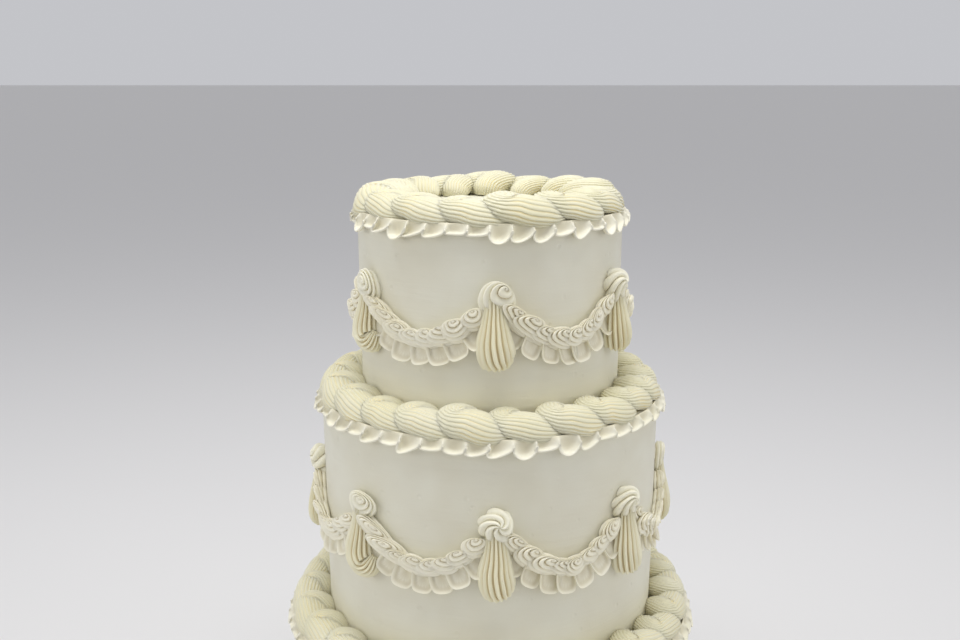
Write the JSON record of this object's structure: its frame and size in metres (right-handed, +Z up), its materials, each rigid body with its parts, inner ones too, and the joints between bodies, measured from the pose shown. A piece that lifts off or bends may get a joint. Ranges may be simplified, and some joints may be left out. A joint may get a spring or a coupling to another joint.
{
  "type": "tiered wedding cake",
  "caption": "Round tiered cake in smooth ivory buttercream, with piped shell borders and ruffles at the rims and garlands of swags caught up at fluted drops and rosettes.",
  "frame": {"origin": "centre of the flat base, on the surface that the cake stands on", "axes": "+Z up, -Y towards the front drop, +X to the right as seen from the front"},
  "size_m": [0.2941, 0.2942, 0.4102],
  "materials": {
    "smooth_icing": "smooth buttercream, satin",
    "shell_icing": "piped buttercream, satin, fine ridges",
    "ruffle_icing": "piped buttercream, satin, pale",
    "swag_icing": "piped buttercream, satin",
    "drop_icing": "piped buttercream, satin, fluted"
  },
  "bodies": {
    "root": {"bottom_tier": "smooth_icing", "bottom_shell_border": "shell_icing", "bottom_ruffle": "ruffle_icing", "bottom_swag_01": "swag_icing", "bottom_drop_01": "drop_icing", "bottom_swag_02": "swag_icing", "bottom_drop_02": "drop_icing", "bottom_swag_03": "swag_icing", "bottom_drop_03": "drop_icing", "bottom_swag_04": "swag_icing", "bottom_drop_04": "drop_icing", "bottom_swag_05": "swag_icing", "bottom_drop_05": "drop_icing", "bottom_swag_06": "swag_icing", "bottom_drop_06": "drop_icing", "bottom_swag_07": "swag_icing", "bottom_drop_07": "drop_icing", "bottom_swag_08": "swag_icing", "bottom_drop_08": "drop_icing", "bottom_swag_09": "swag_icing", "bottom_drop_09": "drop_icing", "bottom_swag_10": "swag_icing", "bottom_drop_10": "drop_icing", "middle_tier": "smooth_icing", "middle_shell_border": "shell_icing", "middle_ruffle": "ruffle_icing", "middle_swag_01": "swag_icing", "middle_drop_01": "drop_icing", "middle_swag_02": "swag_icing", "middle_drop_02": "drop_icing", "middle_swag_03": "swag_icing", "middle_drop_03": "drop_icing", "middle_swag_04": "swag_icing", "middle_drop_04": "drop_icing", "middle_swag_05": "swag_icing", "middle_drop_05": "drop_icing", "middle_swag_06": "swag_icing", "middle_drop_06": "drop_icing", "middle_swag_07": "swag_icing", "middle_drop_07": "drop_icing", "middle_swag_08": "swag_icing", "middle_drop_08": "drop_icing", "top_tier": "smooth_icing", "top_shell_border": "shell_icing", "top_ruffle": "ruffle_icing", "top_swag_01": "swag_icing", "top_drop_01": "drop_icing", "top_swag_02": "swag_icing", "top_drop_02": "drop_icing", "top_swag_03": "swag_icing", "top_drop_03": "drop_icing", "top_swag_04": "swag_icing", "top_drop_04": "drop_icing", "top_swag_05": "swag_icing", "top_drop_05": "drop_icing", "top_swag_06": "swag_icing", "top_drop_06": "drop_icing", "base_shell_border": "shell_icing"}
  },
  "joints": []
}
